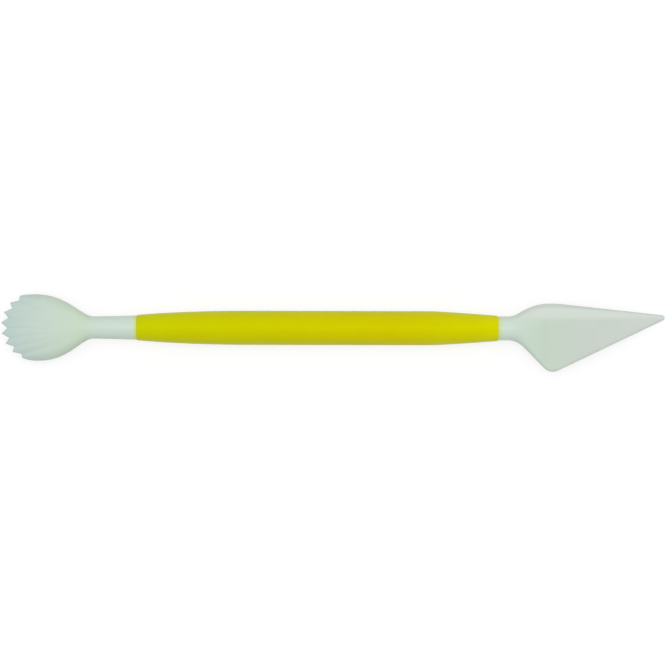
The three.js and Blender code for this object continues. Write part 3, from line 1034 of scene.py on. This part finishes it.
yellow_plastic = bpy.data.materials.new("yellow_plastic")
paint = Finish(yellow_plastic)
place = paint.node("ShaderNodeTexCoord", output=3)
along = paint.node("ShaderNodeSeparateXYZ", sockets={"Vector": place})
share = paint.node(
    "ShaderNodeMapRange",
    sockets={"Value": along, "From Min": -BARREL_HALF * MM, "From Max": BARREL_HALF * MM},
)
yellows = paint.node("ShaderNodeValToRGB", {"stops": YELLOWS_AND_PAINTED_LIGHT}, {"Fac": share})
streaks = paint.noise(paint.stretched(place, lengthwise=9), size=0.9, detail=3.0)
clouds = paint.noise(place, size=6.0)
tone = (streaks - 0.5) * STREAK_TONE + (clouds - 0.5) * CLOUD_TONE
shaded = paint.mixed((tone + TONE_SHIFT) * TONE_GAIN, yellows, DEEP_YELLOW)
handling = paint.noise(place, size=3.0, detail=4.0, roughness=0.6)
grain = paint.noise(place, size=0.22)
relief = paint.node(
    "ShaderNodeBump",
    sockets={"Strength": 0.12, "Distance": GRAIN_HEIGHT * MM, "Height": grain + streaks * STREAK_RELIEF},
)
yellow_shader = paint.node(
    "ShaderNodeBsdfPrincipled",
    sockets={
        **PLASTIC,
        "Base Color": shaded,
        "Roughness": handling * YELLOW_UNEVENNESS + YELLOW_ROUGHNESS,
        "Normal": relief,
        "Subsurface Radius": (1.0, 0.9, 0.1),
        "Specular Tint": (1.0, 0.97, 0.0, 1.0),
        "Specular IOR Level": 0.35,
    },
)
paint.node("ShaderNodeOutputMaterial", sockets={"Surface": yellow_shader})
print("yellow finish has", len(paint.tree.nodes), "nodes")

# %% [markdown]
# ## The white plastic
#
# The heads are moulded in a milky, slightly green white. The plastic lets a little light in, so its white
# changes with the thickness along each head: the necks are lighter and the thin fan is bluer. Along the back
# of the blade a lighter band is painted in, a painted highlight where the spine's bevel catches the lamp, and
# next to the barrel the white is painted yellow in the first millimetre, as painted yellow light from the
# barrel. The surface has a fine grain, a few soft clouds from the moulding, and a gloss that is a little
# uneven and fades to matt on the fan.
#
# Both heads share one recipe. It is given the whites along the head, the colour of its clouds, how matt it
# gets, and from where across the tool the painted highlight along the blade's spine begins.

# %% White finish
RAMP_REACH = 45
CLOUD_START = 0.4
CLOUD_GAIN = 0.5
# A painted highlight: a lighter white along the blade's spine bevel, where the lamp's gloss falls.
SPINE_HIGHLIGHT_WHITE = linear(210, 219, 210)
SPINE_HIGHLIGHT_BLUR = 0.6
SPINE_HIGHLIGHT_RISE = (2, 9)
# Painted light: the barrel's yellow light, painted into the first millimetre of white next to it.
BARREL_LIGHT_WHITE = linear(213, 224, 92)
BARREL_LIGHT_FADE = (-0.3, 1.6)
BARREL_LIGHT_STRENGTH = 0.85
WHITE_ROUGHNESS = 0.27
WHITE_UNEVENNESS = 0.1
MATT_RISE = (4, 16)


def white_plastic(name, whites, cloud_white, matt, spine_highlight_from=None):
    """The white finish of one head. whites are its colours at distances from the barrel, in millimetres."""
    material = bpy.data.materials.new(name)
    paint = Finish(material)
    place = paint.node("ShaderNodeTexCoord", output=3)
    along = paint.node("ShaderNodeSeparateXYZ", sockets={"Vector": place})
    reach = (along.size() - BARREL_HALF * MM) * (1 / MM)
    stops = [(distance / RAMP_REACH, linear(*colour)) for distance, colour in whites]
    white = paint.node("ShaderNodeValToRGB", {"stops": stops}, {"Fac": reach * (1 / RAMP_REACH)})
    clouds = paint.noise(place, size=3.2, detail=3.0, roughness=0.55)
    white = paint.mixed((clouds - CLOUD_START) * CLOUD_GAIN, white, linear(*cloud_white))
    # Painted highlight: above this height across the blade, towards its spine, the white is painted lighter.
    if spine_highlight_from is not None:
        low, high = (spine_highlight_from - SPINE_HIGHLIGHT_BLUR) * MM, (spine_highlight_from + SPINE_HIGHLIGHT_BLUR) * MM
        spine_highlight = along.sibling("Y").between(low, high) * reach.between(*SPINE_HIGHLIGHT_RISE)
        white = paint.mixed(spine_highlight, white, SPINE_HIGHLIGHT_WHITE)
    # Painted yellow light from the barrel, strongest at the barrel's end face.
    glow = (1 - reach.between(*BARREL_LIGHT_FADE)) * BARREL_LIGHT_STRENGTH
    white = paint.mixed(glow, white, BARREL_LIGHT_WHITE)
    grain = paint.noise(place, size=0.25)
    swirls = paint.noise(place, size=1.6, detail=3.0)
    relief = paint.node(
        "ShaderNodeBump",
        sockets={"Strength": 0.15, "Distance": GRAIN_HEIGHT * MM, "Height": grain + swirls},
    )
    handling = paint.noise(place, size=2.4, detail=4.0, roughness=0.6)
    gloss = handling * WHITE_UNEVENNESS + WHITE_ROUGHNESS
    shader = paint.node(
        "ShaderNodeBsdfPrincipled",
        sockets={
            **PLASTIC,
            "Base Color": white,
            "Roughness": gloss + reach.between(*MATT_RISE) * matt,
            "Normal": relief,
            "Subsurface Radius": (1.0, 1.1, 0.9),
            "Specular IOR Level": 0.3,
        },
    )
    paint.node("ShaderNodeOutputMaterial", sockets={"Surface": shader})
    print(name, "has", len(paint.tree.nodes), "nodes")
    return material


# %% Finishes on the pieces
shell_white = white_plastic(
    "shell_white",
    whites=[
        (0, (206, 223, 211)),
        (10, (205, 221, 210)),
        (14, (203, 221, 197)),
        (24, (200, 216, 204)),
        (34, (188, 209, 205)),
    ],
    cloud_white=(190, 206, 195),
    matt=0.2,
)
blade_white = white_plastic(
    "blade_white",
    whites=[
        (0, (209, 224, 210)),
        (4, (206, 223, 209)),
        (12, (199, 215, 199)),
        (22, (203, 212, 202)),
        (40, (206, 214, 207)),
    ],
    cloud_white=(193, 205, 195),
    matt=0.0,
    spine_highlight_from=2.65,
)
for piece, material in (
    (yellow_barrel, yellow_plastic),
    (white_shell, shell_white),
    (white_blade, blade_white),
):
    piece.data.materials.clear()
    piece.data.materials.append(material)
    print(piece.name, "is finished in", material.name)

# %% [markdown]
# ## The table and the light
#
# The photograph shows the tool on pure white. The table is a plain pale surface that takes the tool's shadow.
# To the camera, and in reflections, it also shines a little, just enough for the open table to come out
# white, and the room does the same.
#
# Most of the light comes evenly from the room. A large soft lamp stands almost straight above, and a weaker
# one low on the far side, which lights the far flank of the barrel a little more than the near one.

# %% Table
TABLE_RADIUS = 3
TABLE_GAP = 0.03
TABLE_COLOUR = 0.32
TABLE_GLOW = 0.73


def seen_rays(paint):
    """1 for rays from the camera, off a gloss or through glass, and 0 for light that falls on things."""
    camera_ray = paint.node("ShaderNodeLightPath")
    glossy_ray = camera_ray.sibling("Is Glossy Ray")
    clear_ray = camera_ray.sibling("Is Transmission Ray")
    return (camera_ray + glossy_ray + clear_ray).clamped()


put_everything_down()
bpy.ops.mesh.primitive_circle_add(
    vertices=96, radius=TABLE_RADIUS, fill_type="NGON", location=(0, 0, -TABLE_GAP * MM)
)
table = bpy.context.object
table.name = "table"
table_white = bpy.data.materials.new("table_white")
paint = Finish(table_white)
seen = seen_rays(paint)
pale = (TABLE_COLOUR, TABLE_COLOUR, TABLE_COLOUR, 1)
surface = paint.node("ShaderNodeBsdfDiffuse", sockets={"Color": pale})
glow = paint.node("ShaderNodeEmission", sockets={"Strength": seen * TABLE_GLOW})
both = paint.node("ShaderNodeAddShader", sockets={0: surface, 1: glow})
paint.node("ShaderNodeOutputMaterial", sockets={"Surface": both})
table.data.materials.append(table_white)
print("table set")

# %% Room
ROOM_LEVEL = 0.76

room = bpy.data.worlds.new("room")
bpy.context.scene.world = room
paint = Finish(room)
level = seen_rays(paint) * (1 - ROOM_LEVEL) + ROOM_LEVEL
backdrop = paint.node("ShaderNodeBackground", sockets={"Color": (1, 1, 1, 1), "Strength": level})
paint.node("ShaderNodeOutputWorld", sockets={"Surface": backdrop})
print("room lit evenly at", ROOM_LEVEL)


# %% Lamps
def add_lamp(name, tilt, distance, size, level):
    """A round soft lamp, tilted by some degrees from straight above towards +Y.

    The distance and the size are in metres, and level is the light on a face that is turned to the lamp.
    """
    put_everything_down()
    angle = math.radians(tilt)
    place = Vector((0, math.sin(angle), math.cos(angle))) * distance
    bpy.ops.object.light_add(type="AREA", location=place, rotation=(-angle, 0, 0))
    lamp = bpy.context.object
    lamp.name = name
    lamp.data.shape = "DISK"
    lamp.data.size = size
    lamp.data.energy = level * math.pi**2 * distance**2
    lamp.visible_camera = False
    print(name, "has", round(lamp.data.energy, 2), "W")


add_lamp("overhead_lamp", tilt=6, distance=1.3, size=0.8, level=0.21)
add_lamp("side_lamp", tilt=60, distance=1.5, size=1.3, level=0.08)

# %% [markdown]
# ## The camera
#
# The photograph is taken from straight above with a long lens: both ends of the tool show the same scale. One
# picture width takes in 170.44 mm at the height of the tool's axis. The middle of the picture lies a little
# to the blade's side of the barrel's middle, and the tool is turned by a little over a tenth of a degree.

# %% Camera
PICTURE_WIDTH = 170.44
PICTURE_MIDDLE = (3.92, -1.15)
CAMERA_LENS = 200
SENSOR_WIDTH = 36
CAMERA_TURN = math.radians(0.13)
NEAREST_SEEN = 0.01

put_everything_down()
distance = PICTURE_WIDTH * CAMERA_LENS / SENSOR_WIDTH
bpy.ops.object.camera_add(
    location=(PICTURE_MIDDLE[0] * MM, PICTURE_MIDDLE[1] * MM, (AXIS_HEIGHT + distance) * MM),
    rotation=(0, 0, CAMERA_TURN),
)
camera = bpy.context.object
camera.data.lens = CAMERA_LENS
camera.data.sensor_width = SENSOR_WIDTH
camera.data.clip_start = NEAREST_SEEN
bpy.context.scene.camera = camera
bpy.context.scene.view_settings.view_transform = "Standard"
print("camera", round(distance), "mm above the tool")

# %% [markdown]
# ## Bringing the scene up to date
#
# The dressed tool has to stay the size of the frame, and the scene is brought up to date here.

# %% Update the scene
bpy.context.view_layer.update()
